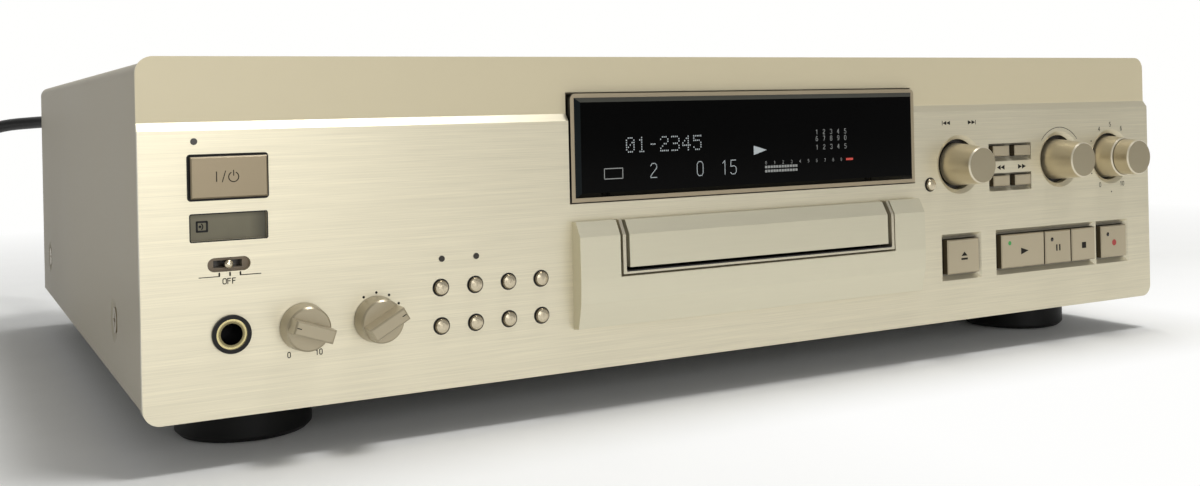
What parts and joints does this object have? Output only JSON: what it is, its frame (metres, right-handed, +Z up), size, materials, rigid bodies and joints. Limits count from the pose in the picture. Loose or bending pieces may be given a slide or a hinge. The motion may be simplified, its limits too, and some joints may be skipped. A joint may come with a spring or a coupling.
{
  "type": "minidisc deck",
  "caption": "Full-width front-loading minidisc recorder deck with powered tray, dot display, level, jog and selector knobs, deck keys, headphone jack and mains cord.",
  "frame": {"origin": "under the middle of the deck, on the surface that it stands on, the cord with its coil and plug left out", "axes": "+X to the right seen from the front, +Y from the front panel to the rear panel, +Z up"},
  "size_m": [0.5801, 0.4257, 0.1212],
  "materials": {
    "panel_metal": "fine brushed, anodised champagne",
    "cover_paint": "satin champagne paint",
    "bare_steel": "plain plated steel",
    "foot_plastic": "satin champagne plastic",
    "foot_felt": "matt rubber",
    "trim_metal": "satin anodised",
    "dark_glass": "dark smoked",
    "tube_dark": "gloss",
    "bright_rim": "polished",
    "dark_plastic": "gloss",
    "lens": "translucent",
    "gold": "gold plated",
    "black_plastic": "matt",
    "board": "lacquered board",
    "core_steel": "varnished laminations",
    "belt_rubber": "matt rubber",
    "white_plastic": "natural nylon",
    "cord_rubber": "satin flexible sheath",
    "key_metal": "satin anodised"
  },
  "bodies": {
    "deck": {"front_panel": "panel_metal", "top_cover": "cover_paint", "chassis_base": "bare_steel", "rear_panel": "bare_steel", "case_screws": "trim_metal", "feet": "foot_plastic", "foot_pads": "foot_felt", "display_frame": "trim_metal", "display_glass": "dark_glass", "display_module": "tube_dark", "tray_surround": "panel_metal", "tray_rim": "bright_rim", "sensor_window": "dark_plastic", "led_lenses": "lens", "phones_jack": "gold", "phones_nut": "black_plastic", "control_pots": "bare_steel", "circuit_boards": "board", "power_transformer": "core_steel", "loader_frame": "black_plastic", "loading_motor": "bare_steel", "drive_belt": "belt_rubber", "disc_drive": "bare_steel", "rca_jacks": "gold", "optical_jacks": "black_plastic", "cord_gland": "cord_rubber", "cord_lead": "cord_rubber", "cord_coil": "cord_rubber", "cord_plug": "cord_rubber"},
    "tray": {"tray": "black_plastic", "tray_door": "panel_metal"},
    "tray_gear": {"tray_gear": "white_plastic"},
    "motor_pulley": {"motor_pulley": "white_plastic"},
    "timer_lever": {"timer_lever": "key_metal"},
    "phone_level_knob": {"phone_level_knob": "key_metal"},
    "input_knob": {"input_knob": "key_metal"},
    "jog_shaft": {"jog_shaft": "bare_steel"},
    "jog_knob": {"jog_knob": "key_metal"},
    "digital_level_knob": {"digital_level_knob": "key_metal"},
    "analog_outer_knob": {"analog_outer_knob": "key_metal"},
    "analog_inner_knob": {"analog_inner_knob": "key_metal"},
    "power_button": {"power_button": "key_metal"},
    "skip_back_key": {"skip_back_key": "key_metal"},
    "skip_ahead_key": {"skip_ahead_key": "key_metal"},
    "search_back_key": {"search_back_key": "key_metal"},
    "search_ahead_key": {"search_ahead_key": "key_metal"},
    "open_close_key": {"open_close_key": "key_metal"},
    "play_key": {"play_key": "key_metal"},
    "pause_key": {"pause_key": "key_metal"},
    "stop_key": {"stop_key": "key_metal"},
    "record_key": {"record_key": "key_metal"},
    "memory_button": {"memory_button": "key_metal"},
    "filter_button": {"filter_button": "key_metal"},
    "scroll_button": {"scroll_button": "key_metal"},
    "display_button": {"display_button": "key_metal"},
    "fader_button": {"fader_button": "key_metal"},
    "play_mode_button": {"play_mode_button": "key_metal"},
    "repeat_button": {"repeat_button": "key_metal"},
    "time_button": {"time_button": "key_metal"},
    "clear_button": {"clear_button": "key_metal"}
  },
  "joints": [
    {"name": "tray_slide", "type": "slide", "parent": "deck", "child": "tray", "axis": [0, -1, 0], "range_m": [0, 0.085]},
    {"name": "tray_gear_turn", "type": "hinge", "parent": "deck", "child": "tray_gear", "pos_m": [-0.031, -0.1309, 0.0527], "axis": [0, 0, 1], "range_deg": [0, 545]},
    {"name": "motor_turn", "type": "hinge", "parent": "deck", "child": "motor_pulley", "pos_m": [-0.009, -0.0889, 0.0467], "axis": [0, 0, 1], "range_deg": [0, 1765]},
    {"name": "timer_slide", "type": "slide", "parent": "deck", "child": "timer_lever", "axis": [1, 0, 0], "range_m": [-0.0031, 0.0031]},
    {"name": "phone_level_turn", "type": "hinge", "parent": "deck", "child": "phone_level_knob", "pos_m": [-0.1684, -0.1549, 0.0393], "axis": [0, 1, 0], "range_deg": [-79, 221]},
    {"name": "input_turn", "type": "hinge", "parent": "deck", "child": "input_knob", "pos_m": [-0.1454, -0.1549, 0.0393], "axis": [0, 1, 0], "range_deg": [-91, 0]},
    {"name": "jog_push", "type": "slide", "parent": "deck", "child": "jog_shaft", "axis": [0, 1, 0], "range_m": [0, 0.0008], "stiffness_N_per_m": 500, "springref_m": -0.0005},
    {"name": "jog_turn", "type": "hinge", "parent": "jog_shaft", "child": "jog_knob", "pos_m": [0.101, -0.1549, 0.0778], "axis": [0, 1, 0], "continuous": true},
    {"name": "digital_level_turn", "type": "hinge", "parent": "deck", "child": "digital_level_knob", "pos_m": [0.1588, -0.1549, 0.0778], "axis": [0, 1, 0], "continuous": true},
    {"name": "analog_outer_turn", "type": "hinge", "parent": "deck", "child": "analog_outer_knob", "pos_m": [0.1907, -0.1549, 0.0778], "axis": [0, 1, 0], "range_deg": [-150, 150]},
    {"name": "analog_inner_turn", "type": "hinge", "parent": "deck", "child": "analog_inner_knob", "pos_m": [0.1907, -0.1549, 0.0778], "axis": [0, 1, 0], "range_deg": [-150, 150]},
    {"name": "power_push", "type": "slide", "parent": "deck", "child": "power_button", "axis": [0, 1, 0], "range_m": [0, 0.0008], "stiffness_N_per_m": 400, "springref_m": -0.0005},
    {"name": "skip_back_push", "type": "slide", "parent": "deck", "child": "skip_back_key", "axis": [0, 1, 0], "range_m": [0, 0.0008], "stiffness_N_per_m": 400, "springref_m": -0.0005},
    {"name": "skip_ahead_push", "type": "slide", "parent": "deck", "child": "skip_ahead_key", "axis": [0, 1, 0], "range_m": [0, 0.0008], "stiffness_N_per_m": 400, "springref_m": -0.0005},
    {"name": "search_back_push", "type": "slide", "parent": "deck", "child": "search_back_key", "axis": [0, 1, 0], "range_m": [0, 0.0008], "stiffness_N_per_m": 400, "springref_m": -0.0005},
    {"name": "search_ahead_push", "type": "slide", "parent": "deck", "child": "search_ahead_key", "axis": [0, 1, 0], "range_m": [0, 0.0008], "stiffness_N_per_m": 400, "springref_m": -0.0005},
    {"name": "open_close_push", "type": "slide", "parent": "deck", "child": "open_close_key", "axis": [0, 1, 0], "range_m": [0, 0.0008], "stiffness_N_per_m": 400, "springref_m": -0.0005},
    {"name": "play_push", "type": "slide", "parent": "deck", "child": "play_key", "axis": [0, 1, 0], "range_m": [0, 0.0008], "stiffness_N_per_m": 400, "springref_m": -0.0005},
    {"name": "pause_push", "type": "slide", "parent": "deck", "child": "pause_key", "axis": [0, 1, 0], "range_m": [0, 0.0008], "stiffness_N_per_m": 400, "springref_m": -0.0005},
    {"name": "stop_push", "type": "slide", "parent": "deck", "child": "stop_key", "axis": [0, 1, 0], "range_m": [0, 0.0008], "stiffness_N_per_m": 400, "springref_m": -0.0005},
    {"name": "record_push", "type": "slide", "parent": "deck", "child": "record_key", "axis": [0, 1, 0], "range_m": [0, 0.0008], "stiffness_N_per_m": 400, "springref_m": -0.0005},
    {"name": "memory_push", "type": "slide", "parent": "deck", "child": "memory_button", "axis": [0, 1, 0], "range_m": [0, 0.0008], "stiffness_N_per_m": 400, "springref_m": -0.0005},
    {"name": "filter_push", "type": "slide", "parent": "deck", "child": "filter_button", "axis": [0, 1, 0], "range_m": [0, 0.0008], "stiffness_N_per_m": 400, "springref_m": -0.0005},
    {"name": "scroll_push", "type": "slide", "parent": "deck", "child": "scroll_button", "axis": [0, 1, 0], "range_m": [0, 0.0008], "stiffness_N_per_m": 400, "springref_m": -0.0005},
    {"name": "display_push", "type": "slide", "parent": "deck", "child": "display_button", "axis": [0, 1, 0], "range_m": [0, 0.0008], "stiffness_N_per_m": 400, "springref_m": -0.0005},
    {"name": "fader_push", "type": "slide", "parent": "deck", "child": "fader_button", "axis": [0, 1, 0], "range_m": [0, 0.0008], "stiffness_N_per_m": 400, "springref_m": -0.0005},
    {"name": "play_mode_push", "type": "slide", "parent": "deck", "child": "play_mode_button", "axis": [0, 1, 0], "range_m": [0, 0.0008], "stiffness_N_per_m": 400, "springref_m": -0.0005},
    {"name": "repeat_push", "type": "slide", "parent": "deck", "child": "repeat_button", "axis": [0, 1, 0], "range_m": [0, 0.0008], "stiffness_N_per_m": 400, "springref_m": -0.0005},
    {"name": "time_push", "type": "slide", "parent": "deck", "child": "time_button", "axis": [0, 1, 0], "range_m": [0, 0.0008], "stiffness_N_per_m": 400, "springref_m": -0.0005},
    {"name": "clear_push", "type": "slide", "parent": "deck", "child": "clear_button", "axis": [0, 1, 0], "range_m": [0, 0.0008], "stiffness_N_per_m": 400, "springref_m": -0.0005}
  ],
  "couplings": [
    {"joint": "tray_gear_turn", "follows": "tray_slide", "rad_per_m": 111.11},
    {"joint": "motor_turn", "follows": "tray_slide", "rad_per_m": 361.11}
  ]
}
